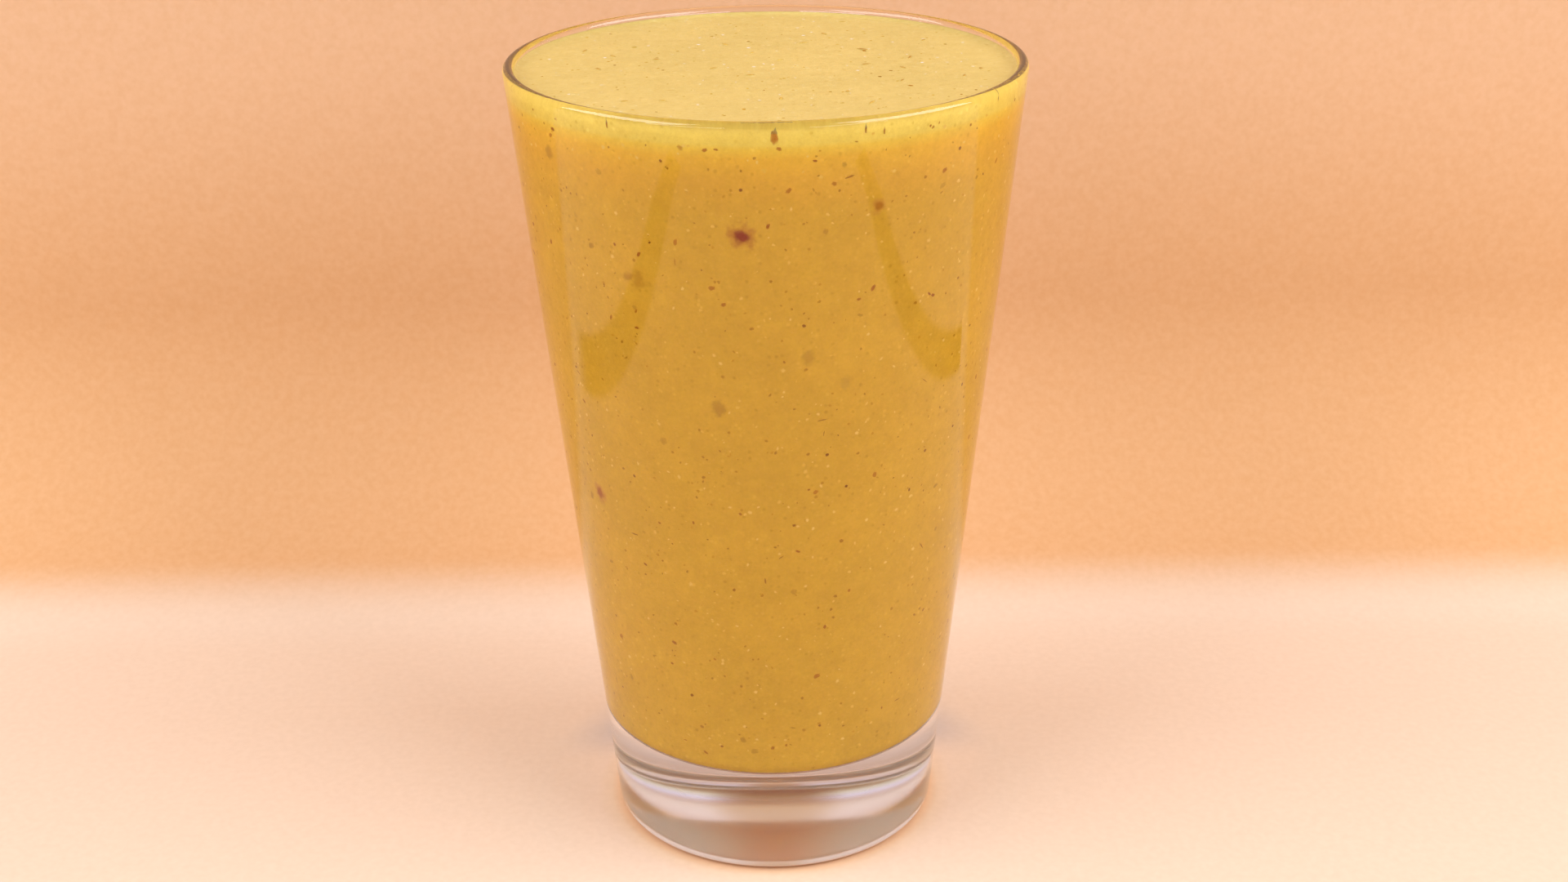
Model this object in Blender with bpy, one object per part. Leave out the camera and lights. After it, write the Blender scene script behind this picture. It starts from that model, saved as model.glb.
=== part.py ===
# A banana coconut smoothie in its conical glass tumbler, filled to just under the rim.
# Metres, +Z up. The origin is on the table, under the middle of the glass.
import math
import random

import bmesh
import bpy
from mathutils import Matrix, Vector

MM = 0.001

# the tumbler
GLASS_HEIGHT = 142 * MM
RIM_RADIUS = 44 * MM  # to the outside of the rim
TAPER = math.radians(5.75)  # lean of the outer wall
RIM_WALL = 2.0 * MM  # the rim is a half round of this thickness
FLOOR_WALL = 2.6 * MM  # the wall is thicker where it meets the floor
FLOOR_HEIGHT = 20.0 * MM  # solid glass below the drink
FLOOR_FILLET = 3.0 * MM
FOOT_ROUNDING = 1.7 * MM
HOLLOW_RADIUS = 24 * MM  # shallow dome under the foot, inside the ring it stands on
HOLLOW_DEPTH = 3.0 * MM
HOLLOW_ROUNDING = 8.0 * MM  # from the dome into the ring

# the drink
FIT_GAP = 0.3 * MM  # between the drink and the glass
DRINK_LEVEL = 1.5 * MM  # how far the flat surface lies below the rim
MENISCUS_RISE = 0.25 * MM  # the surface climbs this much where it meets the glass
MENISCUS_WIDTH = 2.0 * MM

# the largest flecks of fruit skin that lie in the drink's surface
FLECK_COUNT = 24
FLECK_SEED = 11
FLECK_LENGTH = (1.2 * MM, 2.6 * MM)
FLECK_WIDTH = (0.40 * MM, 0.65 * MM)
FLECK_HEIGHT = 0.30 * MM  # half of it stands above the surface
FLECK_SPACING = 4.0 * MM
FLECK_EDGE = 5.0 * MM  # kept free along the glass

# facets
SEGMENTS = 80  # round the axis
WALL_STEPS = 3
RIM_STEPS = 4  # in each quarter of the rim's rounding
FOOT_STEPS = 4
FILLET_STEPS = 5
DOME_STEPS = 5
HOLLOW_STEPS = 3
MENISCUS_STEPS = 3
FLECK_SIDES = 8
FLECK_RINGS = 5

QUARTER_TURN = math.pi / 2
WHOLE_TURN = 2 * math.pi
SHARP_EDGE = math.radians(40)
WELD = 0.001 * MM


def clear_scene():
    for item in list(bpy.data.objects):
        bpy.data.objects.remove(item, do_unlink=True)


def make_material(name, colour, roughness, transmission=0.0):
    material = bpy.data.materials.new(name)
    material.use_nodes = True
    shader = material.node_tree.nodes["Principled BSDF"]
    shader.inputs["Base Color"].default_value = (*colour, 1.0)
    shader.inputs["Roughness"].default_value = roughness
    shader.inputs["Metallic"].default_value = 0.0
    shader.inputs["Transmission Weight"].default_value = transmission
    return material


def arc(centre, radius, start, end, steps):
    """Points (radius, height) along an arc, with both of its ends; angles in radians."""
    points = []
    for step in range(steps + 1):
        angle = start + (end - start) * step / steps
        points.append((centre[0] + radius * math.cos(angle), centre[1] + radius * math.sin(angle)))
    return points


def line(start, end, steps):
    """Points between two others, without its ends."""
    return [tuple(a + (b - a) * step / steps for a, b in zip(start, end)) for step in range(1, steps)]


def rim_centre():
    return (RIM_RADIUS - RIM_WALL / 2, GLASS_HEIGHT - RIM_WALL / 2)


def outer_radius(height):
    """Outside of the wall: a straight line that leaves the rim's rounding as its tangent."""
    centre = rim_centre()
    touch_radius = centre[0] + RIM_WALL / 2 * math.cos(TAPER)
    touch_height = centre[1] - RIM_WALL / 2 * math.sin(TAPER)
    return touch_radius - (touch_height - height) * math.tan(TAPER)


def inner_wall():
    """Both ends of the inside of the wall, run down to the height of the floor."""
    centre = rim_centre()
    top = (centre[0] - RIM_WALL / 2 * math.cos(TAPER), centre[1] + RIM_WALL / 2 * math.sin(TAPER))
    bottom = (outer_radius(FLOOR_HEIGHT) - FLOOR_WALL, FLOOR_HEIGHT)
    return top, bottom


def inner_radius(height):
    top, bottom = inner_wall()
    share = (height - bottom[1]) / (top[1] - bottom[1])
    return bottom[0] + (top[0] - bottom[0]) * share


def inner_lean():
    top, bottom = inner_wall()
    return math.atan2(top[0] - bottom[0], top[1] - bottom[1])


def corner_arc(wall_radius, floor, lean, rounding, steps):
    """Rounding between a leaning wall and a flat floor, from the wall to the floor.

    wall_radius is the wall's radius at the height of the floor."""
    reach = rounding * math.tan((QUARTER_TURN - lean) / 2)
    centre = (wall_radius - reach, floor + rounding)
    return arc(centre, rounding, -lean, -QUARTER_TURN, steps)


def hollow_profile():
    """Dome under the foot, from the axis out, and the rounding that takes it to the table."""
    dome_radius = (HOLLOW_RADIUS ** 2 + HOLLOW_DEPTH ** 2) / (2 * HOLLOW_DEPTH)
    dome_centre = (0.0, HOLLOW_DEPTH - dome_radius)
    rise = HOLLOW_ROUNDING - dome_centre[1]
    reach = math.sqrt((dome_radius + HOLLOW_ROUNDING) ** 2 - rise ** 2)
    touch = math.atan2(rise, reach)
    dome = arc(dome_centre, dome_radius, QUARTER_TURN, touch, DOME_STEPS)
    centre = (reach, HOLLOW_ROUNDING)
    turn = arc(centre, HOLLOW_ROUNDING, touch + math.pi, 3 * QUARTER_TURN, HOLLOW_STEPS)
    return dome + turn[1:]


def glass_profile():
    foot = corner_arc(outer_radius(0.0), 0.0, TAPER, FOOT_ROUNDING, FOOT_STEPS)[::-1]
    half_wall = RIM_WALL / 2
    rim = arc(rim_centre(), half_wall, -TAPER, 0.0, 1)
    rim += arc(rim_centre(), half_wall, 0.0, QUARTER_TURN, RIM_STEPS)[1:]
    rim += arc(rim_centre(), half_wall, QUARTER_TURN, math.pi - TAPER, RIM_STEPS)[1:]
    bottom_radius = inner_wall()[1][0]
    corner = corner_arc(bottom_radius, FLOOR_HEIGHT, inner_lean(), FLOOR_FILLET, FILLET_STEPS)
    wall_out = line(foot[-1], rim[0], WALL_STEPS)
    wall_in = line(rim[-1], corner[0], WALL_STEPS)
    return hollow_profile() + foot + wall_out + rim + wall_in + corner + [(0.0, FLOOR_HEIGHT)]


def drink_surface(radius, edge_radius):
    """Height of the drink's surface: flat, then climbing smoothly to the glass."""
    level = GLASS_HEIGHT - DRINK_LEVEL
    climb = max(0.0, 1 - (edge_radius - radius) / MENISCUS_WIDTH)
    return level + MENISCUS_RISE * climb ** 2


def drink_edge():
    level = GLASS_HEIGHT - DRINK_LEVEL + MENISCUS_RISE
    return inner_radius(level) - FIT_GAP / math.cos(inner_lean())


def drink_profile():
    floor = FLOOR_HEIGHT + FIT_GAP
    lean = inner_lean()
    wall_at_floor = inner_radius(floor) - FIT_GAP / math.cos(lean)
    corner = corner_arc(wall_at_floor, floor, lean, FLOOR_FILLET - FIT_GAP, FILLET_STEPS)[::-1]
    edge_radius = drink_edge()
    edge = (edge_radius, drink_surface(edge_radius, edge_radius))
    wall = line(corner[-1], edge, WALL_STEPS)
    surface = []
    for step in range(1, MENISCUS_STEPS + 1):
        radius = edge_radius - MENISCUS_WIDTH * step / MENISCUS_STEPS
        surface.append((radius, drink_surface(radius, edge_radius)))
    middle = (0.0, GLASS_HEIGHT - DRINK_LEVEL)
    return [(0.0, floor)] + corner + wall + [edge] + surface + [middle]


def turned_mesh(name, profile):
    """A closed body from a profile that starts and ends on the axis."""
    body = bmesh.new()
    verts = [body.verts.new((radius, 0.0, height)) for radius, height in profile]
    edges = [body.edges.new(pair) for pair in zip(verts, verts[1:])]
    bmesh.ops.spin(body, geom=verts + edges, cent=(0, 0, 0), axis=(0, 0, 1),
                   angle=WHOLE_TURN, steps=SEGMENTS)
    bmesh.ops.remove_doubles(body, verts=body.verts[:], dist=WELD)
    bmesh.ops.recalc_face_normals(body, faces=body.faces[:])
    mesh = bpy.data.meshes.new(name)
    body.to_mesh(mesh)
    body.free()
    mesh.shade_smooth()
    mesh.set_sharp_from_angle(angle=SHARP_EDGE)
    return mesh


def add_object(name, mesh, material):
    item = bpy.data.objects.new(name, mesh)
    item.data.materials.append(material)
    bpy.context.scene.collection.objects.link(item)
    return item


def fleck_places():
    """Spots spread over the drink's surface, none too near to another or to the glass."""
    draw = random.Random(FLECK_SEED)
    reach = drink_edge() - FLECK_EDGE
    places = []
    while len(places) < FLECK_COUNT:
        turn = draw.uniform(0, WHOLE_TURN)
        radius = reach * math.sqrt(draw.random())
        spot = Vector((radius * math.cos(turn), radius * math.sin(turn)))
        if all((spot - other).length > FLECK_SPACING for other in places):
            places.append(spot)
    return places


def make_flecks():
    """Thin flat grains, half sunk in the surface, each lying its own way."""
    draw = random.Random(FLECK_SEED + 1)
    level = GLASS_HEIGHT - DRINK_LEVEL
    group = bpy.data.collections.new("flecks")
    bpy.context.scene.collection.children.link(group)
    for spot in fleck_places():
        size = (draw.uniform(*FLECK_LENGTH), draw.uniform(*FLECK_WIDTH), FLECK_HEIGHT)
        place = Matrix.Translation((spot.x, spot.y, level))
        turn = Matrix.Rotation(draw.uniform(0, math.pi), 4, "Z")
        stretch = Matrix.Diagonal((*size, 1))
        body = bmesh.new()
        bmesh.ops.create_uvsphere(body, u_segments=FLECK_SIDES, v_segments=FLECK_RINGS,
                                  radius=0.5, matrix=place @ turn @ stretch)
        mesh = bpy.data.meshes.new("fleck")
        body.to_mesh(mesh)
        body.free()
        group.objects.link(bpy.data.objects.new("fleck", mesh))
    return group


def fuse(item, group):
    """Join the group's objects into the item, then remove them."""
    union = item.modifiers.new("flecks", "BOOLEAN")
    union.operation = "UNION"
    union.operand_type = "COLLECTION"
    union.collection = group
    union.solver = "EXACT"
    bpy.context.view_layer.objects.active = item
    with bpy.context.temp_override(object=item, active_object=item):
        bpy.ops.object.modifier_apply(modifier=union.name)
    for part in list(group.objects):
        bpy.data.objects.remove(part, do_unlink=True)
    bpy.data.collections.remove(group)


def main():
    clear_scene()
    clear_glass = make_material("clear_glass", (0.97, 0.97, 0.96), 0.02, transmission=1.0)
    smoothie = make_material("smoothie", (0.78, 0.48, 0.13), 0.45)
    add_object("glass_tumbler", turned_mesh("glass_tumbler", glass_profile()), clear_glass)
    drink = add_object("smoothie", turned_mesh("smoothie", drink_profile()), smoothie)
    fuse(drink, make_flecks())


main()
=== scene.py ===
# Banana coconut smoothie in its clear tumbler: glass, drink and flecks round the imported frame
import math
import random

import bpy
import numpy as np
from mathutils import Matrix, Vector


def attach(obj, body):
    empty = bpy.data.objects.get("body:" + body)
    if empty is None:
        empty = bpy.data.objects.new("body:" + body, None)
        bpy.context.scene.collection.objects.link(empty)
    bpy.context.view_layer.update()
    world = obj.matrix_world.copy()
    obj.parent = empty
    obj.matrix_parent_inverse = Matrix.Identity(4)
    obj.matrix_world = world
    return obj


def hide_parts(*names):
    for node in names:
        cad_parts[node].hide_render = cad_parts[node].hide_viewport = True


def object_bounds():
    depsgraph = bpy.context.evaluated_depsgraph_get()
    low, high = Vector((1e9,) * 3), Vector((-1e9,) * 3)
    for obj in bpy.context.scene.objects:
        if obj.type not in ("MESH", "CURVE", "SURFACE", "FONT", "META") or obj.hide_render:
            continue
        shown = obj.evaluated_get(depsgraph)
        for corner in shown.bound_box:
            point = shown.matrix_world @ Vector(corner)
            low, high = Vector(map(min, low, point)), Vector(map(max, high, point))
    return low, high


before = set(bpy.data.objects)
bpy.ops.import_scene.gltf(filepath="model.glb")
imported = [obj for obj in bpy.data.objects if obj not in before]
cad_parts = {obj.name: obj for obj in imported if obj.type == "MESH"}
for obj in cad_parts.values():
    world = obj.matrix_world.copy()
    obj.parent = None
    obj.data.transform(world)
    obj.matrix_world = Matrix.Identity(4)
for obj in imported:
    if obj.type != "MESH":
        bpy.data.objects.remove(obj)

mm = 0.001
fullTurn = 2 * math.pi
weld = 0.001 * mm
cadLow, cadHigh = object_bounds()


# shared ways of working

def deselectAll():
    if bpy.context.object and bpy.context.object.mode != "OBJECT":
        bpy.ops.object.mode_set(mode="OBJECT")
    bpy.ops.object.select_all(action="DESELECT")


def rename(piece, name):
    piece.name = name
    piece.data.name = name
    return piece


def arc(centre, radius, start, end, steps):
    # places (radius, height) along an arc with both its ends, angles in degrees
    places = []
    for step in range(steps + 1):
        angle = math.radians(start + (end - start) * step / steps)
        places.append((centre[0] + radius * math.cos(angle), centre[1] + radius * math.sin(angle)))
    return places


def run(start, end, steps):
    # places along a straight line, without its ends
    return [tuple(a + (b - a) * step / steps for a, b in zip(start, end)) for step in range(1, steps)]


def drawLine(name, places):
    # one point extruded from place to place; stays in edit mode with the whole line selected
    deselectAll()
    bpy.ops.mesh.primitive_plane_add(size=mm, location=(0, 0, 0))
    piece = rename(bpy.context.object, name)
    bpy.ops.object.mode_set(mode="EDIT")
    bpy.ops.mesh.select_mode(type="VERT")
    bpy.ops.mesh.select_all(action="SELECT")
    bpy.ops.mesh.merge(type="CENTER")
    bpy.ops.transform.translate(value=places[0])
    for start, end in zip(places, places[1:]):
        move = tuple(b - a for a, b in zip(start, end))
        bpy.ops.mesh.extrude_region_move(TRANSFORM_OT_translate={"value": move})
    bpy.ops.mesh.select_all(action="SELECT")
    return piece


def turnOnAxis(name, outline, steps):
    # half outline spun round the axis into a closed body
    piece = drawLine(name, [(radius, 0, height) for radius, height in outline])
    bpy.ops.mesh.spin(steps=steps, angle=fullTurn, center=(0, 0, 0), axis=(0, 0, 1))
    bpy.ops.mesh.select_all(action="SELECT")
    bpy.ops.mesh.remove_doubles(threshold=weld)
    bpy.ops.mesh.normals_make_consistent(inside=False)
    bpy.ops.object.mode_set(mode="OBJECT")
    bpy.ops.object.shade_smooth_by_angle(angle=math.radians(40))
    return piece


def selectFaces(piece, wanted):
    # leaves the piece in edit mode with only the wanted faces selected
    deselectAll()
    bpy.context.view_layer.objects.active = piece
    piece.select_set(True)
    bpy.ops.object.mode_set(mode="EDIT")
    bpy.ops.mesh.select_mode(type="FACE")
    bpy.ops.mesh.select_all(action="DESELECT")
    bpy.ops.object.mode_set(mode="OBJECT")
    for face in piece.data.polygons:
        face.select = wanted(face.center, face.normal)
    bpy.ops.object.mode_set(mode="EDIT")


# shared ways of wiring a material

def newMaterial(name):
    material = bpy.data.materials.new(name)
    material.use_nodes = True
    return material, material.node_tree.nodes["Principled BSDF"]


def addNode(material, kind, inputs=None, **settings):
    # inputs holds either a value or another node's output socket for each named input
    node = material.node_tree.nodes.new("ShaderNode" + kind)
    for key, value in settings.items():
        setattr(node, key, value)
    for key, value in (inputs or {}).items():
        plug(material, value, node.inputs[key])
    return node


def plug(material, value, socket):
    if isinstance(value, bpy.types.NodeSocket):
        material.node_tree.links.new(value, socket)
    else:
        socket.default_value = value


def ramp(material, fac, stops):
    node = addNode(material, "ValToRGB", {"Fac": fac})
    elements = node.color_ramp.elements
    while len(elements) < len(stops):
        elements.new(0.5)
    for element, (place, colour) in zip(elements, stops):
        element.position = place
        element.color = (*colour, 1)
    return node.outputs["Color"]


def mixColour(material, fac, first, second, blend="MIX"):
    node = addNode(material, "Mix", data_type="RGBA", blend_type=blend)
    plug(material, fac, node.inputs[0])
    plug(material, first, node.inputs[6])
    plug(material, second, node.inputs[7])
    return node.outputs[2]


def noiseOn(material, where, grainSize, detail=2.0, roughness=0.5):
    # grainSize is the real size of the pattern's lumps
    return addNode(material, "TexNoise", {"Vector": where, "Scale": 1 / grainSize, "Detail": detail,
                                          "Roughness": roughness}).outputs["Fac"]


def mapRange(material, value, fromLow, fromHigh, toLow, toHigh, kind="LINEAR"):
    return addNode(material, "MapRange", {"Value": value, "From Min": fromLow, "From Max": fromHigh,
                                          "To Min": toLow, "To Max": toHigh},
                   interpolation_type=kind).outputs["Result"]


def rampAlong(material, distance, stops):
    # stops: (distance in metres, colour)
    reach = stops[-1][0]
    along = mapRange(material, distance, 0.0, reach, 0.0, 1.0)
    return ramp(material, along, [(place / reach, tone) for place, tone in stops])


def objectPlace(material):
    return addNode(material, "TexCoord").outputs["Object"]


# camera, where the photograph was taken from

view = {
    "place": (0, -348.1 * mm, 220.8 * mm),
    "down": 23.17,  # degrees below level
    "right": 0.399,
    "roll": -0.580,
    "lens": 48.046,
}


def placeCamera():
    turn = Matrix.Rotation(-math.radians(view["right"]), 3, "Z")
    turn = turn @ Matrix.Rotation(math.radians(90 - view["down"]), 3, "X")
    turn = turn @ Matrix.Rotation(math.radians(view["roll"]), 3, "Z")
    bpy.ops.object.camera_add(location=view["place"], rotation=turn.to_euler())
    camera = rename(bpy.context.object, "photoCamera")
    camera.data.lens = view["lens"]
    bpy.context.scene.camera = camera


deselectAll()
placeCamera()
print("camera placed")


# glass tumbler, all of one piece

glass = {
    "height": cadHigh.z,
    "rimRadius": cadHigh.x,  # to the outside of the rim
    "taper": 5.75,  # lean of the outer wall in degrees
    "rimWall": 2.0 * mm,  # the rim is a half round of this thickness
    "floorWall": 2.6 * mm,
    "floorHeight": 20.0 * mm,  # solid glass below the drink
    "floorFillet": 3.0 * mm,
    "footRounding": 1.7 * mm,
    "hollowRadius": 24 * mm,  # shallow dome under the foot
    "hollowDepth": 3.0 * mm,
    "hollowRounding": 8.0 * mm,
    "segments": 192,
    "tint": (0.985, 0.99, 1.0),
    "wipeMarks": 9 * mm,
    "waveWidth": 22 * mm,
    "waveHeight": 0.03 * mm,
    "footTint": (1.0, 0.92, 0.90),
    "footHaze": (0.12, 0.30),  # how scuffed the underside is, in the dome and on the ring
    "wornRing": (12 * mm, 25 * mm),
    "footDullness": 0.12,
}
taperAngle = math.radians(glass["taper"])
halfRim = glass["rimWall"] / 2
rimCentre = (glass["rimRadius"] - halfRim, glass["height"] - halfRim)


def outerRadius(height):
    touchRadius = rimCentre[0] + halfRim * math.cos(taperAngle)
    touchHeight = rimCentre[1] - halfRim * math.sin(taperAngle)
    return touchRadius - (touchHeight - height) * math.tan(taperAngle)


innerTop = (rimCentre[0] - halfRim * math.cos(taperAngle), rimCentre[1] + halfRim * math.sin(taperAngle))
innerBottom = (outerRadius(glass["floorHeight"]) - glass["floorWall"], glass["floorHeight"])
innerLean = math.atan2(innerTop[0] - innerBottom[0], innerTop[1] - innerBottom[1])


def innerRadius(height):
    share = (height - innerBottom[1]) / (innerTop[1] - innerBottom[1])
    return innerBottom[0] + (innerTop[0] - innerBottom[0]) * share


def cornerArc(wallRadius, floor, lean, rounding, steps):
    # from a leaning wall round to a flat floor; wallRadius is the wall's at the height of the floor
    reach = rounding * math.tan((math.pi / 2 - lean) / 2)
    return arc((wallRadius - reach, floor + rounding), rounding, -math.degrees(lean), -90, steps)


def hollowOutline():
    depth, radius, rounding = glass["hollowDepth"], glass["hollowRadius"], glass["hollowRounding"]
    domeRadius = (radius ** 2 + depth ** 2) / (2 * depth)
    domeCentre = (0, depth - domeRadius)
    rise = rounding - domeCentre[1]
    reach = math.sqrt((domeRadius + rounding) ** 2 - rise ** 2)
    touch = math.degrees(math.atan2(rise, reach))
    dome = arc(domeCentre, domeRadius, 90, touch, 18)
    return dome + arc((reach, rounding), rounding, touch + 180, 270, 8)[1:]


def glassOutline():
    foot = cornerArc(outerRadius(0), 0, taperAngle, glass["footRounding"], 10)[::-1]
    rim = arc(rimCentre, halfRim, -glass["taper"], 0, 1)
    rim += arc(rimCentre, halfRim, 0, 90, 10)[1:]
    rim += arc(rimCentre, halfRim, 90, 180 - glass["taper"], 10)[1:]
    corner = cornerArc(innerBottom[0], glass["floorHeight"], innerLean, glass["floorFillet"], 12)
    wallOut = run(foot[-1], rim[0], 12)
    wallIn = run(rim[-1], corner[0], 12)
    floor = run(corner[-1], (0, glass["floorHeight"]), 8)
    return hollowOutline() + foot + wallOut + rim + wallIn + corner + floor + [(0, glass["floorHeight"])]


def clearGlass(name, tint, dullness=0.0):
    # uniform numbers on the shader, and the faint waves and wipe marks of pressed glass as nodes
    material, shader = newMaterial(name)
    shader.inputs["Base Color"].default_value = (*tint, 1)
    shader.inputs["Transmission Weight"].default_value = 1.0
    shader.inputs["IOR"].default_value = 1.5
    where = objectPlace(material)
    marks = noiseOn(material, where, glass["wipeMarks"], detail=4, roughness=0.65)
    rough = mapRange(material, marks, 0.45, 0.8, dullness, 1.2 * dullness + 0.012)
    plug(material, rough, shader.inputs["Roughness"])
    waves = noiseOn(material, where, glass["waveWidth"], detail=1)
    bump = addNode(material, "Bump", {"Height": waves, "Strength": 1.0, "Distance": glass["waveHeight"]})
    plug(material, bump.outputs["Normal"], shader.inputs["Normal"])
    return material


def scuffedGlass():
    material = clearGlass("scuffedGlass", glass["footTint"], glass["footDullness"])
    away = addNode(material, "VectorMath", {0: objectPlace(material)}, operation="LENGTH").outputs["Value"]
    dome, ring = glass["footHaze"]
    clear = mapRange(material, away, *glass["wornRing"], 1 - dome, 1 - ring)
    plug(material, clear, material.node_tree.nodes["Principled BSDF"].inputs["Transmission Weight"])
    return material


glassTumbler = turnOnAxis("glassTumbler", glassOutline(), glass["segments"])
glassTumbler.data.materials.append(clearGlass("clearGlass", glass["tint"]))
glassTumbler.data.materials.append(scuffedGlass())
selectFaces(glassTumbler, lambda centre, normal: centre.z < 4 * mm and normal.z < -0.5)
glassTumbler.active_material_index = 1
bpy.ops.object.material_slot_assign()
bpy.ops.object.mode_set(mode="OBJECT")
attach(glassTumbler, "root")
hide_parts("glass_tumbler")
print("glass tumbler turned,", len(glassTumbler.data.polygons), "faces")


# smoothie, up to just under the rim; it reaches into the glass so that no air shows between them

drink = {
    "overlap": 0.05 * mm,
    "level": 1.5 * mm,  # how far the flat surface lies below the rim
    "meniscusRise": 0.25 * mm,
    "meniscusWidth": 2.0 * mm,
    "wetRise": 0.22 * mm,  # a film of drink that clings to the glass above that
    "segments": 288,
    "ringStep": 0.55 * mm,
    "swell": (24 * mm, 0.22 * mm),  # width and height of the low swells in the surface
    "lumps": (3.2 * mm, 0.07 * mm),
    "wallContrast": 0.907,  # how the drink bends light against how the glass does
    # depth below the surface and colour there: the drink's own colour low down, with painted light in the
    # first few millimetres, paler as if lit through the top
    "sideColourAndPaintedLight": [
        (0.0 * mm, (0.98, 0.735, 0.125)), (2.2 * mm, (0.98, 0.73, 0.105)), (3.0 * mm, (0.98, 0.66, 0.060)),
        (4.6 * mm, (0.95, 0.55, 0.036)), (8.2 * mm, (0.86, 0.475, 0.034)), (14.0 * mm, (0.805, 0.463, 0.032)),
    ],
    "topTone": (0.580, 0.440, 0.132),
    "bottomColourAndPaintedLight": [  # distance out to either side; painted light: the bottom is painted paler towards the outside, where the glass foot gathers the lamps' light
        (2 * mm, (0.90, 0.37, 0.045)), (6 * mm, (0.96, 0.60, 0.28)), (11 * mm, (0.99, 0.90, 0.68)),
    ],
    "blotches": (16 * mm, 0.035),  # size and strength of the soft clouds of colour
    "mottling": (2.6 * mm, (0.945, 0.93, 0.88), (1.04, 1.06, 1.13)),  # size, darkest and palest
    "pulpGrains": (1.1 * mm, (0.86, 0.80, 0.55), (1.10, 1.17, 1.55)),  # size, dark ones and pale ones
}
drinkLevel = glass["height"] - drink["level"]
drinkFloor = glass["floorHeight"] - drink["overlap"]


def drinkRadius(height):
    return innerRadius(height) + drink["overlap"] / math.cos(innerLean)


drinkTop = drinkLevel + drink["meniscusRise"] + drink["wetRise"]
drinkEdge = drinkRadius(drinkTop)


def surfaceHeight(radius):
    climb = max(0, 1 - (drinkEdge - radius) / drink["meniscusWidth"])
    return drinkLevel + drink["meniscusRise"] * climb ** 2


def drinkOutline():
    fillet = glass["floorFillet"] + drink["overlap"]
    corner = cornerArc(drinkRadius(drinkFloor), drinkFloor, innerLean, fillet, 12)[::-1]
    edge = (drinkEdge, drinkTop)
    outline = [(0, drinkFloor)] + run((0, drinkFloor), corner[0], 12) + corner
    outline += run(corner[-1], edge, 24) + [edge]
    rings = int(drinkEdge / drink["ringStep"])
    for ring in range(1, rings):
        radius = drinkEdge * (1 - ring / rings)
        outline.append((radius, surfaceHeight(radius)))
    return outline + [(0, drinkLevel)]


def ruffle(piece, group, width, height):
    # low relief on one group of points, straight up and down
    deselectAll()
    bpy.context.view_layer.objects.active = piece
    piece.select_set(True)
    texture = bpy.data.textures.new("relief", "CLOUDS")
    texture.noise_scale = width
    texture.noise_depth = 2
    relief = piece.modifiers.new("relief", "DISPLACE")
    relief.texture = texture
    relief.texture_coords = "LOCAL"
    relief.direction = "Z"
    relief.mid_level = 0.5
    relief.strength = height
    relief.vertex_group = group
    bpy.ops.object.modifier_apply(modifier=relief.name)


def surfaceGroup(piece):
    # the flat part of the surface, fading out towards the glass
    group = piece.vertex_groups.new(name="surface")
    for point in piece.data.vertices:
        inward = (drinkEdge - math.hypot(point.co.x, point.co.y)) / drink["meniscusWidth"]
        if point.co.z > drinkLevel - weld and inward > 0.1:
            group.add([point.index], min(1, inward * 0.4), "REPLACE")
    return group.name


softStains = [  # azimuth from the front in degrees, height, radius, colour, strength
    (-6.0, 123.6 * mm, 2.9 * mm, (0.48, 0.15, 0.015), 0.6),
    (-6.0, 123.7 * mm, 1.5 * mm, (0.28, 0.025, 0.002), 0.95),
    (-54.8, 132.7 * mm, 1.6 * mm, (0.46, 0.22, 0.012), 0.6),
    (-30.8, 114.3 * mm, 2.3 * mm, (0.52, 0.25, 0.012), 0.6),
    (-33.5, 114.9 * mm, 1.3 * mm, (0.50, 0.22, 0.008), 0.6),
    (-12.6, 93.4 * mm, 1.7 * mm, (0.42, 0.19, 0.012), 0.5),
    (9.2, 102.7 * mm, 1.7 * mm, (0.48, 0.23, 0.015), 0.45),
    (18.4, 97.6 * mm, 1.5 * mm, (0.52, 0.28, 0.03), 0.4),
    (-54.4, 71.7 * mm, 2.4 * mm, (0.60, 0.22, 0.04), 0.5),
    (-54.4, 71.7 * mm, 1.2 * mm, (0.42, 0.10, 0.008), 0.8),
    (24.3, 127.1 * mm, 1.7 * mm, (0.62, 0.27, 0.04), 0.5),
    (24.3, 127.1 * mm, 0.9 * mm, (0.46, 0.16, 0.004), 0.8),
]


def sidePlace(azimuth, height, radius=None):
    turn = math.radians(azimuth)
    reach = drinkRadius(height) if radius is None else radius
    return Vector((reach * math.sin(turn), -reach * math.cos(turn), height))


def pulpGrains(material, where, colour):
    # soft round grains that lie a little deeper in the drink: some pale, some dark, most not seen
    size, dark, pale = drink["pulpGrains"]
    cells = addNode(material, "TexVoronoi", {"Vector": where, "Scale": 1 / size, "Randomness": 1.0})
    core = mapRange(material, cells.outputs["Distance"], 0.10, 0.42, 1.0, 0.0, "SMOOTHSTEP")
    pick = addNode(material, "SeparateXYZ", {0: cells.outputs["Color"]})
    for axis, tone in (("X", dark), ("Y", pale)):
        chosen = mapRange(material, pick.outputs[axis], 0.62, 1.0, 0.0, 1.0)
        share = addNode(material, "Math", {0: core, 1: chosen}, operation="MULTIPLY").outputs[0]
        shade = mixColour(material, share, (1, 1, 1, 1), (*tone, 1))
        colour = mixColour(material, 1.0, colour, shade, "MULTIPLY")
    return colour


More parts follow.
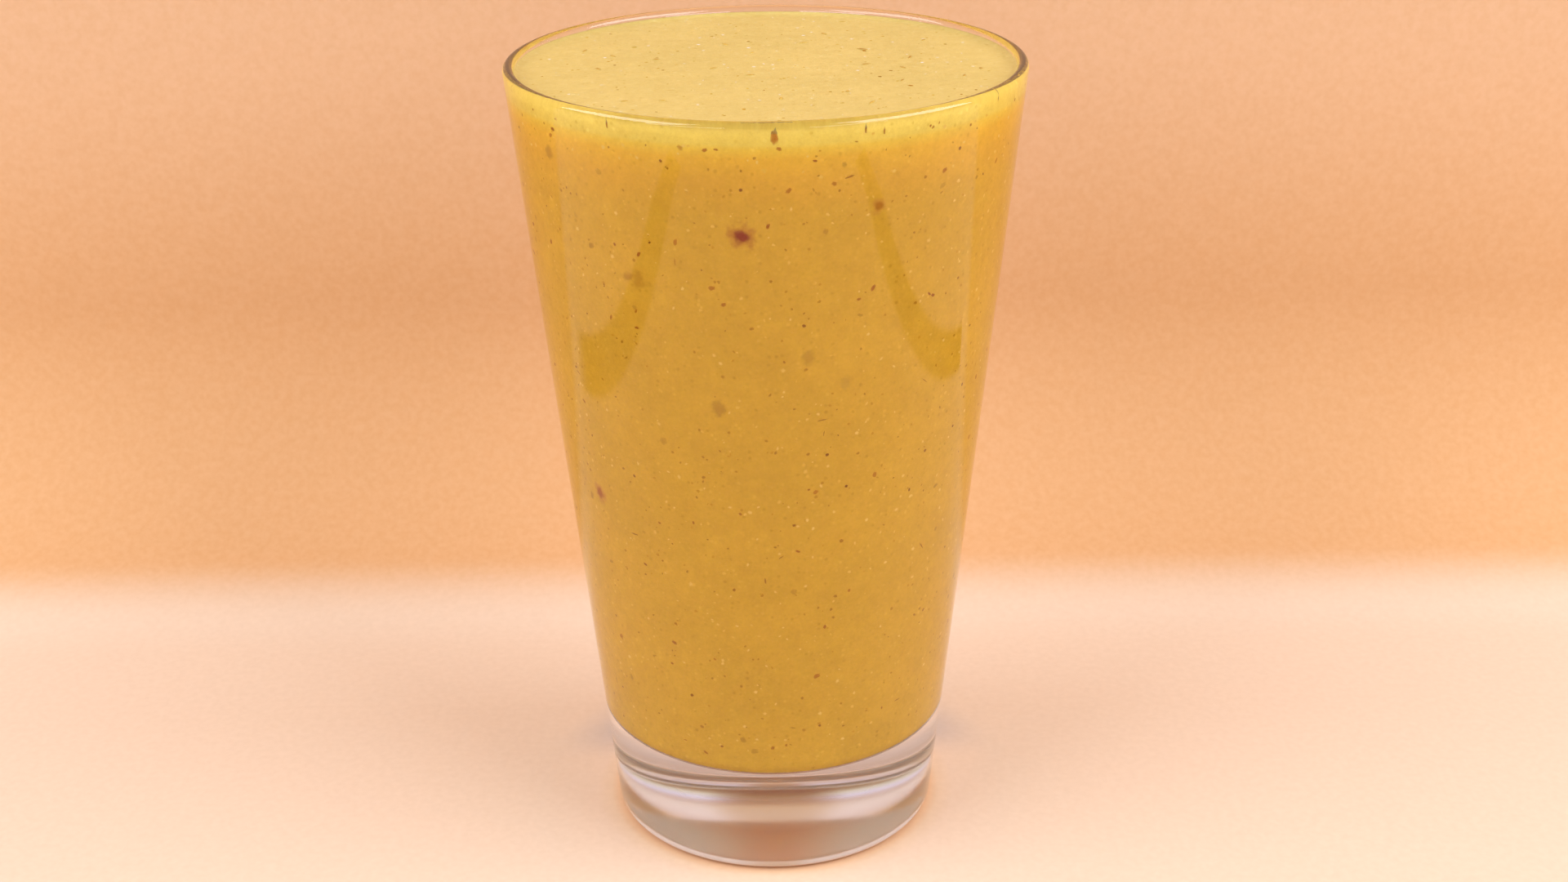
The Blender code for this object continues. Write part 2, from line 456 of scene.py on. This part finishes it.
def pulpColour(material, where, colour):
    # soft blotches, smaller mottling and grains, then fine pulp over them
    size, strength = drink["blotches"]
    blotches = noiseOn(material, where, size, detail=3, roughness=0.55)
    low, high = (1 - 2 * strength,) * 3, (1, 1, 1 + strength)
    tones = ramp(material, blotches, [(0.34, low), (0.66, high)])
    colour = mixColour(material, 1.0, colour, tones, "MULTIPLY")
    size, low, high = drink["mottling"]
    mottling = noiseOn(material, where, size, detail=4, roughness=0.9)
    tones = ramp(material, mottling, [(0.36, low), (0.64, high)])
    colour = mixColour(material, 1.0, colour, tones, "MULTIPLY")
    colour = pulpGrains(material, where, colour)
    pulp = noiseOn(material, where, 0.55 * mm, detail=3, roughness=0.7)
    shade = ramp(material, pulp, [(0.30, (0.93, 0.91, 0.86)), (0.5, (1, 1, 1))])
    colour = mixColour(material, 0.6, colour, shade, "MULTIPLY")
    light = mapRange(material, pulp, 0.62, 0.8, 0.0, 0.35)
    return mixColour(material, light, colour, (0.97, 0.66, 0.16, 1)), pulp


def wallTone(material, where, height):
    # the drink's colour down its side and across its bottom, before any grain; painted light pales the band
    # just under the surface and the bottom out towards the sides
    depth = addNode(material, "Math", {0: drinkLevel, 1: height}, operation="SUBTRACT").outputs[0]
    out = addNode(material, "SeparateXYZ", {0: where}).outputs["X"]
    out = addNode(material, "Math", {0: out}, operation="ABSOLUTE").outputs[0]
    under = mapRange(material, height, drinkFloor + 0.1 * mm, drinkFloor + 0.5 * mm, 1.0, 0.0)
    # both ramps carry painted light as well as the drink's own colour
    return mixColour(material, under, rampAlong(material, depth, drink["sideColourAndPaintedLight"]),
                     rampAlong(material, out, drink["bottomColourAndPaintedLight"]))


def shareOnTop(material, height):
    return mapRange(material, height, drinkLevel - 0.6 * mm, drinkLevel - 0.4 * mm, 0.0, 1.0)


def plainTone(material, where, height):
    return mixColour(material, shareOnTop(material, height), wallTone(material, where, height),
                     (*drink["topTone"], 1))


def smoothieSide():
    # seen flat from inside the glass, the wet wall mirrors
    material, shader = newMaterial("smoothieSide")
    where = objectPlace(material)
    height = addNode(material, "SeparateXYZ", {0: where}).outputs["Z"]
    colour, pulp = pulpColour(material, where, wallTone(material, where, height))
    edge = noiseOn(material, where, 1.8 * mm, detail=3)
    for azimuth, level, radius, stain, strength in softStains:
        place = sidePlace(azimuth, level)
        away = addNode(material, "VectorMath", {0: where, 1: place}, operation="DISTANCE").outputs["Value"]
        wobble = mapRange(material, edge, 0.3, 0.7, -0.4 * radius, 0.4 * radius)
        away = addNode(material, "Math", {0: away, 1: wobble}, operation="ADD").outputs[0]
        fade = mapRange(material, away, 0.25 * radius, radius, strength, 0.0, "SMOOTHSTEP")
        colour = mixColour(material, fade, colour, (*stain, 1))
    plug(material, colour, shader.inputs["Base Color"])
    plug(material, mapRange(material, pulp, 0.3, 0.7, 0.55, 0.7), shader.inputs["Roughness"])
    shader.inputs["Specular IOR Level"].default_value = 0.0
    mirror = addNode(material, "BsdfAnisotropic", {"Color": (0.98, 0.97, 0.98, 1), "Roughness": 0.12})
    share = addNode(material, "Fresnel", {"IOR": drink["wallContrast"]}).outputs[0]
    share = addNode(material, "Math", {0: share, 1: mapRange(material, pulp, 0.3, 0.7, 1.0, 0.75)},
                    operation="MULTIPLY").outputs[0]
    mixed = addNode(material, "MixShader", {0: share, 1: shader.outputs[0], 2: mirror.outputs[0]})
    plug(material, mixed.outputs[0], material.node_tree.nodes["Material Output"].inputs["Surface"])
    return material


def smoothieTop():
    material, shader = newMaterial("smoothieTop")
    where = objectPlace(material)
    colour, pulp = pulpColour(material, where, (*drink["topTone"], 1))
    plug(material, colour, shader.inputs["Base Color"])
    plug(material, mapRange(material, pulp, 0.3, 0.7, 0.34, 0.5), shader.inputs["Roughness"])
    shader.inputs["Specular IOR Level"].default_value = 0.35
    fine = addNode(material, "Bump", {"Height": pulp, "Strength": 1.0, "Distance": 0.05 * mm})
    plug(material, fine.outputs["Normal"], shader.inputs["Normal"])
    return material


smoothieDrink = turnOnAxis("smoothieDrink", drinkOutline(), drink["segments"])
surface = surfaceGroup(smoothieDrink)
ruffle(smoothieDrink, surface, *drink["swell"])
ruffle(smoothieDrink, surface, *drink["lumps"])
smoothieDrink.data.materials.append(smoothieSide())
smoothieDrink.data.materials.append(smoothieTop())
selectFaces(smoothieDrink, lambda centre, normal: centre.z > drinkLevel - 0.5 * mm and normal.z > 0.5)
smoothieDrink.active_material_index = 1
bpy.ops.object.material_slot_assign()
bpy.ops.object.mode_set(mode="OBJECT")
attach(smoothieDrink, "root")
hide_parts("smoothie")
print("smoothie poured,", len(smoothieDrink.data.polygons), "faces")


# flecks: a few grains are modelled once, then strewn as one joined mesh for each kind

def modelGrain(subdivisions, seed, ruggedness):
    # a small bead knocked out of round, one millimetre across
    deselectAll()
    bpy.ops.mesh.primitive_ico_sphere_add(subdivisions=subdivisions, radius=0.5 * mm)
    grain = bpy.context.object
    bpy.ops.object.mode_set(mode="EDIT")
    bpy.ops.mesh.select_all(action="SELECT")
    bpy.ops.transform.vertex_random(offset=ruggedness * mm, uniform=1.0, normal=0.0, seed=seed)
    bpy.ops.mesh.normals_make_consistent(inside=False)
    bpy.ops.object.mode_set(mode="OBJECT")
    points = np.array([point.co[:] for point in grain.data.vertices]) / mm
    faces = np.array([face.vertices[:] for face in grain.data.polygons])
    mesh = grain.data
    bpy.data.objects.remove(grain)
    bpy.data.meshes.remove(mesh)
    return points, faces


smallGrains = [modelGrain(1, seed, 0.10) for seed in (1, 2, 3)]
largeGrains = [modelGrain(2, seed, 0.09) for seed in (4, 5, 6)]


def lieOn(place, towards):
    # where a straight line from outside meets the drink, with the way the surface faces there
    return smoothieDrink.ray_cast(place, towards)[1:3]


def lieOnSide(azimuth, height):
    outside = sidePlace(azimuth, height, 60 * mm)
    return lieOn(outside, Vector((-outside.x, -outside.y, 0)).normalized())


def lieOnTop(x, y):
    return lieOn(Vector((x, y, 160 * mm)), Vector((0, 0, -1)))


def lieOnBottom(x, y):
    return lieOn(Vector((x, y, 0)), Vector((0, 0, 1)))


def fleckFrame(normal, turn):
    # three directions: along the fleck, across it and out of the surface
    up = Vector((0, 0, 1)) if abs(normal.z) < 0.9 else Vector((0, 1, 0))
    across = up.cross(normal).normalized()
    along = normal.cross(across)
    return (across * math.cos(turn) + along * math.sin(turn),
            along * math.cos(turn) - across * math.sin(turn), normal)


def strew(name, flecks, grains, material, seed, sunk=True):
    # flecks: (spot, normal, turn, length, width, thickness, tone); sunk ones are shaded like the drink
    draw = random.Random(seed)
    points, faces, tones, rises, normals, start = [], [], [], [], [], 0
    for spot, normal, turn, length, width, thickness, tone in flecks:
        grainPoints, grainFaces = grains[draw.randrange(len(grains))]
        axes = np.array([axis[:] for axis in fleckFrame(normal, turn)])
        points.append(grainPoints * (length, width, thickness) @ axes + np.array(spot[:]))
        faces.append(grainFaces + start)
        tones += [tone] * len(grainPoints)
        rises.append(grainPoints[:, 2] * 2)  # 1 at the crown, 0 where it sinks in
        normals += [normal] * len(grainPoints)
        start += len(grainPoints)
    mesh = bpy.data.meshes.new(name)
    mesh.from_pydata(np.concatenate(points).tolist(), [], np.concatenate(faces).tolist())
    for label, values in (("tone", tones), ("rise", np.concatenate(rises))):
        mesh.attributes.new(label, "FLOAT", "POINT").data.foreach_set("value", np.array(values, np.float32))
    mesh.shade_smooth()
    if sunk:
        mesh.normals_split_custom_set_from_vertices(normals)
    mesh.materials.append(material)
    piece = bpy.data.objects.new(name, mesh)
    bpy.context.scene.collection.objects.link(piece)
    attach(piece, "root")
    print(name, "strewn,", len(flecks), "flecks")
    return piece


def fleckMaterial(name, dark, light, softness, roughness=0.5, specular=0.0, ownTopTone=False):
    # each fleck has its own tone, its body is mottled and its edge fades into the drink
    material, shader = newMaterial(name)
    tone = addNode(material, "Attribute", attribute_name="tone", attribute_type="GEOMETRY").outputs["Fac"]
    rise = addNode(material, "Attribute", attribute_name="rise", attribute_type="GEOMETRY").outputs["Fac"]
    where = objectPlace(material)
    mottle = noiseOn(material, where, 0.25 * mm, detail=2)
    tone = addNode(material, "Math", {0: tone, 1: mapRange(material, mottle, 0.3, 0.7, -0.2, 0.2)},
                   operation="ADD").outputs[0]
    height = addNode(material, "SeparateXYZ", {0: where}).outputs["Z"]
    own = ramp(material, tone, [(0.0, dark), (1.0, light)])
    if not ownTopTone:
        shift = [top / side for top, side in zip(drink["topTone"], drink["sideColourAndPaintedLight"][-1][1])]
        shift = mixColour(material, shareOnTop(material, height), (1, 1, 1, 1), (*shift, 1))
        own = mixColour(material, 1.0, own, shift, "MULTIPLY")
    cover = mapRange(material, rise, 0.0, softness, 0.0, 1.0, "SMOOTHSTEP")
    around = pulpColour(material, where, plainTone(material, where, height))[0]
    plug(material, mixColour(material, cover, around, own), shader.inputs["Base Color"])
    plug(material, mapRange(material, mottle, 0.3, 0.7, roughness - 0.08, roughness + 0.08),
         shader.inputs["Roughness"])
    shader.inputs["Specular IOR Level"].default_value = specular
    return material


def anywhere(draw, sideShare=0.84, bottomShare=0.05):
    # a spot drawn evenly over the side, the bottom or the top of the drink
    pick = draw.random()
    if pick < sideShare:
        low, high = 24 * mm, drinkLevel - 1 * mm
        while True:
            height = draw.uniform(low, high)
            if draw.random() < drinkRadius(height) / drinkRadius(high):
                return lieOnSide(draw.uniform(-180, 180), height)
    turn = draw.uniform(0, fullTurn)
    if pick < sideShare + bottomShare:
        radius = 26 * mm * math.sqrt(draw.random())
        return lieOnBottom(radius * math.cos(turn), radius * math.sin(turn))
    radius = (drinkEdge - 1.5 * mm) * math.sqrt(draw.random())
    return lieOnTop(radius * math.cos(turn), radius * math.sin(turn))


def onStain(spot):
    return any((spot - sidePlace(stain[0], stain[1])).length < stain[2] for stain in softStains)


def strewEvenly(kind):
    draw = random.Random(kind["seed"])
    flecks = []
    for index in range(kind["count"]):
        spot, normal = anywhere(draw, kind["sideShare"], kind["bottomShare"])
        long = draw.uniform(*kind["length"])
        fleck = (spot, normal, draw.uniform(0, math.pi), long, long * draw.uniform(*kind["slimness"]),
                 kind["thickness"], draw.random())
        if not onStain(spot):
            flecks.append(fleck)
    for azimuth, height, length, width, turn, tone in kind["placed"]:
        spot, normal = lieOnSide(azimuth, height * mm)
        flecks.append((spot, normal, math.radians(turn), length * mm, width * mm, kind["thickness"], tone))
    return strew(kind["name"], flecks, kind["grains"], kind["material"], kind["seed"] + 1)


# the kinds; placed ones: azimuth, height, length and width in mm, turn in degrees, tone
fleckKinds = [
    {"name": "paleFlecks", "seed": 21, "count": 1700, "sideShare": 0.86, "bottomShare": 0.05,
     "length": (0.35 * mm, 1.0 * mm), "slimness": (0.45, 0.95), "thickness": 0.05 * mm,
     "grains": smallGrains,
     "material": fleckMaterial("paleFleck", (0.86, 0.53, 0.05), (0.95, 0.67, 0.15), 0.85),
     "placed": []},
    {"name": "faintSpecks", "seed": 31, "count": 1500, "sideShare": 0.88, "bottomShare": 0.05,
     "length": (0.30 * mm, 0.85 * mm), "slimness": (0.45, 1.0), "thickness": 0.05 * mm,
     "grains": smallGrains,
     "material": fleckMaterial("faintSpeck", (0.48, 0.20, 0.003), (0.70, 0.35, 0.012), 0.75),
     "placed": []},
    {"name": "darkGrains", "seed": 41, "count": 150, "sideShare": 0.85, "bottomShare": 0.05,
     "length": (0.35 * mm, 0.85 * mm), "slimness": (0.5, 1.0), "thickness": 0.07 * mm,
     "grains": largeGrains,
     "material": fleckMaterial("darkGrain", (0.28, 0.085, 0.0005), (0.52, 0.21, 0.002), 0.8),
     "placed": [(-5.6, 131.1, 0.7, 0.6, 0, 0.1), (14.4, 84.7, 0.7, 0.6, 30, 0.0),
                (19.9, 78.3, 0.6, 0.6, 0, 0.0)]},
    {"name": "brownBits", "seed": 51, "count": 110, "sideShare": 0.9, "bottomShare": 0.05,
     "length": (0.6 * mm, 1.4 * mm), "slimness": (0.4, 0.75), "thickness": 0.08 * mm,
     "grains": largeGrains,
     "material": fleckMaterial("brownBit", (0.40, 0.115, 0.001), (0.60, 0.24, 0.005), 0.9),
     "placed": [(1.5, 139.4, 2.7, 1.3, 90, 0.6), (0.0, 125.2, 1.1, 0.6, 60, 0.2),
                (-30.0, 119.1, 1.2, 0.6, 50, 0.1), (-10.3, 111.9, 1.1, 0.7, 20, 0.5),
                (24.3, 113.5, 1.4, 0.7, 60, 0.3), (15.3, 51.2, 0.9, 0.6, 80, 0.3),
                (-31.0, 46.4, 1.3, 0.7, 150, 0.3),
                (13.3, 41.2, 1.4, 1.0, 30, 0.6), (-0.6, 26.5, 1.0, 0.7, 60, 0.7)]},
    {"name": "brownFibres", "seed": 61, "count": 36, "sideShare": 0.85, "bottomShare": 0.05,
     "length": (1.0 * mm, 2.4 * mm), "slimness": (0.10, 0.18), "thickness": 0.06 * mm,
     "grains": smallGrains,
     "material": fleckMaterial("brownFibre", (0.34, 0.11, 0.002), (0.56, 0.23, 0.008), 0.8),
     "placed": [(12.9, 91.2, 2.4, 0.25, 8, 0.2), (-2.0, 61.2, 1.6, 0.35, 95, 0.4),
                (-34.8, 139.9, 1.8, 0.4, 90, 0.3),
                (20.5, 139.9, 1.8, 0.4, 90, 0.1), (24.7, 139.3, 1.6, 0.35, 90, 0.4),
                (58.2, 140.0, 1.2, 0.35, 90, 0.5)]},
    {"name": "greyBits", "seed": 71, "count": 60, "sideShare": 0.9, "bottomShare": 0.05,
     "length": (0.8 * mm, 1.9 * mm), "slimness": (0.5, 0.95), "thickness": 0.05 * mm,
     "grains": largeGrains,
     "material": fleckMaterial("greyBit", (0.54, 0.27, 0.012), (0.68, 0.37, 0.025), 1.0),
     "placed": []},
]
for kind in fleckKinds:
    strewEvenly(kind)


# the largest flecks in the surface lie where the solid has them

surfaceKind = {
    "count": 24, "seed": 11, "spacing": 4.0 * mm, "edge": 5.0 * mm,
    "length": (1.2 * mm, 2.6 * mm), "width": (0.40 * mm, 0.65 * mm), "thickness": 0.30 * mm,
}


def surfaceFleckSpots():
    draw = random.Random(surfaceKind["seed"])
    solidLevel = drinkLevel + drink["meniscusRise"]
    fitGap = 0.3 * mm  # between the solid drink and the glass
    reach = innerRadius(solidLevel) - fitGap / math.cos(innerLean) - surfaceKind["edge"]
    spots = []
    while len(spots) < surfaceKind["count"]:
        turn = draw.uniform(0, fullTurn)
        radius = reach * math.sqrt(draw.random())
        spot = Vector((radius * math.cos(turn), radius * math.sin(turn)))
        if all((spot - other).length > surfaceKind["spacing"] for other in spots):
            spots.append(spot)
    return spots


def strewSurfaceFlecks():
    draw = random.Random(surfaceKind["seed"] + 1)
    flecks = []
    for place in surfaceFleckSpots():
        length, width = draw.uniform(*surfaceKind["length"]), draw.uniform(*surfaceKind["width"])
        turn = draw.uniform(0, math.pi)
        spot = lieOnTop(place.x, place.y)[0]
        flecks.append((spot, Vector((0, 0, 1)), turn, length, width,
                       surfaceKind["thickness"], (turn * 7) % 1))
    material = fleckMaterial("surfaceFleck", (0.36, 0.17, 0.020), (0.54, 0.35, 0.065), 0.8,
                             roughness=0.45, specular=0.2, ownTopTone=True)
    return strew("surfaceFlecks", flecks, largeGrains, material, 81, sunk=False)


strewSurfaceFlecks()


# pale sheet that sweeps up behind with painted shadow round the foot, dark strips that only the glass
# mirrors, and soft light

studio = {
    "floorDrop": 0.15 * mm,
    "curveStart": 0.055,
    "curveRadius": 0.06,
    "wallHeight": 0.9,
    "halfWidth": 1.2,
    "front": -1.3,
    "floorTone": (0.725, 0.558, 0.432),
    "wallTone": (0.648, 0.349, 0.158),
    "highTone": (0.655, 0.39, 0.22),
    "highHeights": (50 * mm, 130 * mm),
    "paintedContactShadow": [  # painted contact shadow: distance from the foot's axis and what the floor's tone is multiplied by there; darker and warmer at the foot, with a faint warm painted brightening just beyond it
        (28.5 * mm, (0.84, 0.58, 0.42)), (30.2 * mm, (1.03, 0.86, 0.68)), (31.6 * mm, (1.06, 0.99, 0.90)),
        (34.5 * mm, (1.05, 1.01, 0.99)), (45 * mm, (1, 1, 1)),
    ],
    "frontTones": (-30 * mm, -110 * mm, (0.96, 0.89, 0.87)),  # the floor dims a little towards the front
    "behindTone": (0.68, 0.76, 0.92),  # the shade that hugs the foot on the side away from the lights
    "behindFrom": (8 * mm, 22 * mm),  # how far back of the axis it sets in
    "behindReach": (34 * mm, 48 * mm),  # how far from the axis it fades out
    "toneHeights": (0.5 * mm, 8 * mm),
    "paperGrain": 1.5 * mm,
    "world": ((1.0, 0.92, 0.86), 0.42),
    "light": ((0.70, -0.27, 0.60), (0.95, 0.55), (9.3, 10.5), (0.93, 0.96, 1.0)),  # powers left and right
}


def sheetMaterial():
    # pale below, warmer up the back, with painted shadow round the foot and painted shade behind it; seen
    # from behind it lets the view through
    material, shader = newMaterial("studioSheet")
    where = objectPlace(material)
    height = addNode(material, "SeparateXYZ", {0: where}).outputs["Z"]
    tone = mapRange(material, height, *studio["toneHeights"], 0.0, 1.0, "SMOOTHSTEP")
    grain = noiseOn(material, where, studio["paperGrain"], detail=3)
    colour = ramp(material, tone, [(0.0, studio["floorTone"]), (1.0, studio["wallTone"])])
    higher = mapRange(material, height, *studio["highHeights"], 0.0, 1.0, "SMOOTHSTEP")
    colour = mixColour(material, higher, colour, (*studio["highTone"], 1))
    colour = mixColour(material, 0.03, colour, ramp(material, grain, [(0.3, (0, 0, 0)), (0.7, (1, 1, 1))]))
    away = addNode(material, "VectorMath", {0: where}, operation="LENGTH").outputs["Value"]
    # painted contact shadow round the foot
    colour = mixColour(material, 1.0, colour, rampAlong(material, away, studio["paintedContactShadow"]), "MULTIPLY")
    backwards = addNode(material, "SeparateXYZ", {0: where}).outputs["Y"]
    start, end, frontTone = studio["frontTones"]
    front = mapRange(material, backwards, start, end, 0.0, 1.0)
    colour = mixColour(material, front, colour, (*frontTone, 1), "MULTIPLY")
    # painted shade behind the foot, on the side away from the lights
    behind = mapRange(material, backwards, *studio["behindFrom"], 0.0, 1.0, "SMOOTHSTEP")
    nearby = mapRange(material, away, *studio["behindReach"], 1.0, 0.0, "SMOOTHSTEP")
    behind = addNode(material, "Math", {0: behind, 1: nearby}, operation="MULTIPLY").outputs[0]
    shade = mixColour(material, behind, (1, 1, 1, 1), (*studio["behindTone"], 1))
    colour = mixColour(material, 1.0, colour, shade, "MULTIPLY")
    plug(material, colour, shader.inputs["Base Color"])
    shader.inputs["Roughness"].default_value = 0.8
    shader.inputs["Specular IOR Level"].default_value = 0.2
    back = addNode(material, "NewGeometry").outputs["Backfacing"]
    through = addNode(material, "BsdfTransparent").outputs[0]
    mixed = addNode(material, "MixShader", {0: back, 1: shader.outputs[0], 2: through})
    plug(material, mixed.outputs[0], material.node_tree.nodes["Material Output"].inputs["Surface"])
    return material


def layStudioSheet():
    low, radius = -studio["floorDrop"], studio["curveRadius"]
    outline = [(studio["front"], low)]
    outline += arc((studio["curveStart"], low + radius), radius, -90, 0, 24)
    outline += [(studio["curveStart"] + radius, studio["wallHeight"])]
    sheet = drawLine("studioSheet", [(-studio["halfWidth"], y, z) for y, z in outline])
    bpy.ops.mesh.extrude_region_move(TRANSFORM_OT_translate={"value": (2 * studio["halfWidth"], 0, 0)})
    bpy.ops.object.mode_set(mode="OBJECT")
    if sum(face.normal.z for face in sheet.data.polygons) < 0:
        sheet.data.flip_normals()  # its front faces the glass
    sheet.data.shade_smooth()
    sheet.data.materials.append(sheetMaterial())


darkStrips = [  # low x, high x, low y, high y
    (-0.230, -0.188, -0.265, 0.075),
    (0.195, 0.230, -0.265, 0.100),
]


stripFade = (8 * mm, 50 * mm)  # across and along


def stripMaterial(lowX, highX, highY):
    # dark along its middle, fading out at both sides and at its far end
    material, shader = newMaterial("darkStrip")
    shader.inputs["Base Color"].default_value = (0.02, 0.015, 0.012, 1)
    place = addNode(material, "SeparateXYZ", {0: objectPlace(material)})
    middle = (lowX + highX) / 2
    aside = addNode(material, "Math", {0: place.outputs["X"], 1: middle}, operation="SUBTRACT").outputs[0]
    aside = addNode(material, "Math", {0: aside}, operation="ABSOLUTE").outputs[0]
    half = (highX - lowX) / 2
    across = mapRange(material, aside, half - stripFade[0], half, 1.0, 0.0, "SMOOTHSTEP")
    along = mapRange(material, place.outputs["Y"], highY - stripFade[1], highY, 1.0, 0.0, "SMOOTHSTEP")
    share = addNode(material, "Math", {0: across, 1: along}, operation="MULTIPLY").outputs[0]
    clear = addNode(material, "BsdfTransparent").outputs[0]
    mixed = addNode(material, "MixShader", {0: share, 1: clear, 2: shader.outputs[0]})
    plug(material, mixed.outputs[0], material.node_tree.nodes["Material Output"].inputs["Surface"])
    return material


def layDarkStrips():
    for index, (lowX, highX, lowY, highY) in enumerate(darkStrips):
        deselectAll()
        bpy.ops.mesh.primitive_plane_add(size=1, location=((lowX + highX) / 2, (lowY + highY) / 2, 0.3 * mm))
        strip = rename(bpy.context.object, f"darkStrip{index + 1}")
        strip.scale = (highX - lowX, highY - lowY, 1)
        bpy.ops.object.transform_apply(location=True, rotation=True, scale=True)
        strip.data.materials.append(stripMaterial(lowX, highX, highY))
        strip.visible_camera = False
        strip.visible_diffuse = False
        strip.visible_shadow = False


paintedLightCard = {  # stands behind the foot and shows only through the glass; its glow is painted light and shade for the foot: painted shade low in the middle, painted bluish highlight bands at the sides, pale above
    "place": 60 * mm,
    "halfWidth": 50 * mm,
    "heights": (0.3 * mm, 70 * mm),
    # middle: painted shade low down, paler higher up; sides: painted bluish highlight bands between darker
    # painted shade
    "middle": [(7 * mm, (0.20, 0.04, 0.001)), (10.5 * mm, (0.27, 0.09, 0.005)),
               (14.5 * mm, (0.32, 0.15, 0.06)),
               (22 * mm, (0.38, 0.15, 0.06)), (28.5 * mm, (0.66, 0.39, 0.22)), (40 * mm, (0.67, 0.41, 0.26)),
               (70 * mm, (0.66, 0.40, 0.25))],
    "sides": [(5 * mm, (0.26, 0.11, 0.03)), (8 * mm, (0.38, 0.22, 0.11)), (11.5 * mm, (0.74, 0.64, 0.47)),
              (15.5 * mm, (0.70, 0.60, 0.60)), (18.5 * mm, (0.78, 0.70, 0.92)), (22 * mm, (0.66, 0.48, 0.48)),
              (26 * mm, (0.62, 0.40, 0.32)), (33 * mm, (0.87, 0.67, 0.58)), (47 * mm, (0.89, 0.68, 0.62)),
              (70 * mm, (0.80, 0.56, 0.50))],
    "turnsAt": (0.8 * mm, 4.0 * mm),
}


def standPaintedLightCard():
    material = bpy.data.materials.new("paintedLightCard")
    material.use_nodes = True
    place = addNode(material, "SeparateXYZ", {0: objectPlace(material)})
    outward = addNode(material, "Math", {0: place.outputs["X"]}, operation="ABSOLUTE").outputs[0]
    side = mapRange(material, outward, *paintedLightCard["turnsAt"], 0.0, 1.0, "SMOOTHSTEP")
    tones = [rampAlong(material, place.outputs["Z"], paintedLightCard[part]) for part in ("middle", "sides")]
    colour = mixColour(material, side, *tones)
    glow = addNode(material, "Emission", {"Color": colour})
    plug(material, glow.outputs[0], material.node_tree.nodes["Material Output"].inputs["Surface"])
    deselectAll()
    low, high = paintedLightCard["heights"]
    bpy.ops.mesh.primitive_plane_add(size=1, location=(0, paintedLightCard["place"], (low + high) / 2),
                                     rotation=(math.pi / 2, 0, 0))
    card = rename(bpy.context.object, "paintedLightCard")
    card.scale = (2 * paintedLightCard["halfWidth"], high - low, 1)
    bpy.ops.object.transform_apply(location=True, rotation=True, scale=True)
    card.data.materials.append(material)
    for kind in ("camera", "diffuse", "glossy", "shadow", "volume_scatter"):
        setattr(card, "visible_" + kind, False)


rimCards = {  # low bright cards left and right that only show as the highlight along the rim
    "turns": (17, 50),  # azimuth from the front, in degrees
    "distance": 0.75,
    "heights": (0.13, 0.24),
    "glow": ((0.88, 0.95, 1.0), 5.0),
}


def standRimCards():
    material = bpy.data.materials.new("rimCard")
    material.use_nodes = True
    colour, strength = rimCards["glow"]
    glow = addNode(material, "Emission", {"Color": (*colour, 1), "Strength": strength})
    plug(material, glow.outputs[0], material.node_tree.nodes["Material Output"].inputs["Surface"])
    low, high = rimCards["heights"]
    for side, name in ((-1, "rimCardLeft"), (1, "rimCardRight")):
        foot = []
        for step in range(13):
            first, last = rimCards["turns"]
            turn = math.radians(first + (last - first) * step / 12)
            foot.append((side * rimCards["distance"] * math.sin(turn),
                         -rimCards["distance"] * math.cos(turn), low))
        card = drawLine(name, foot)
        bpy.ops.mesh.extrude_region_move(TRANSFORM_OT_translate={"value": (0, 0, high - low)})
        bpy.ops.object.mode_set(mode="OBJECT")
        card.data.materials.append(material)
        for kind in ("camera", "diffuse", "transmission", "shadow", "volume_scatter"):
            setattr(card, "visible_" + kind, False)


def hangLights():
    place, size, powers, colour = studio["light"]
    for side, power in zip((-1, 1), powers):
        spot = Vector((side * place[0], place[1], place[2]))
        aim = (Vector((0, 0, 80 * mm)) - spot).to_track_quat("-Z", "Y").to_euler()
        bpy.ops.object.light_add(type="AREA", location=spot, rotation=aim)
        lamp = rename(bpy.context.object, "softLight" + ("Left" if side < 0 else "Right"))
        lamp.data.shape = "RECTANGLE"
        lamp.data.size, lamp.data.size_y = size
        lamp.data.energy = power
        lamp.data.color = colour


def fillWorld():
    world = bpy.data.worlds.new("paleRoom")
    world.use_nodes = True
    colour, strength = studio["world"]
    world.node_tree.nodes["Background"].inputs["Color"].default_value = (*colour, 1)
    world.node_tree.nodes["Background"].inputs["Strength"].default_value = strength
    bpy.context.scene.world = world


layStudioSheet()
layDarkStrips()
standPaintedLightCard()
standRimCards()
hangLights()
fillWorld()
bpy.context.scene.view_settings.view_transform = "Standard"
print("studio set")
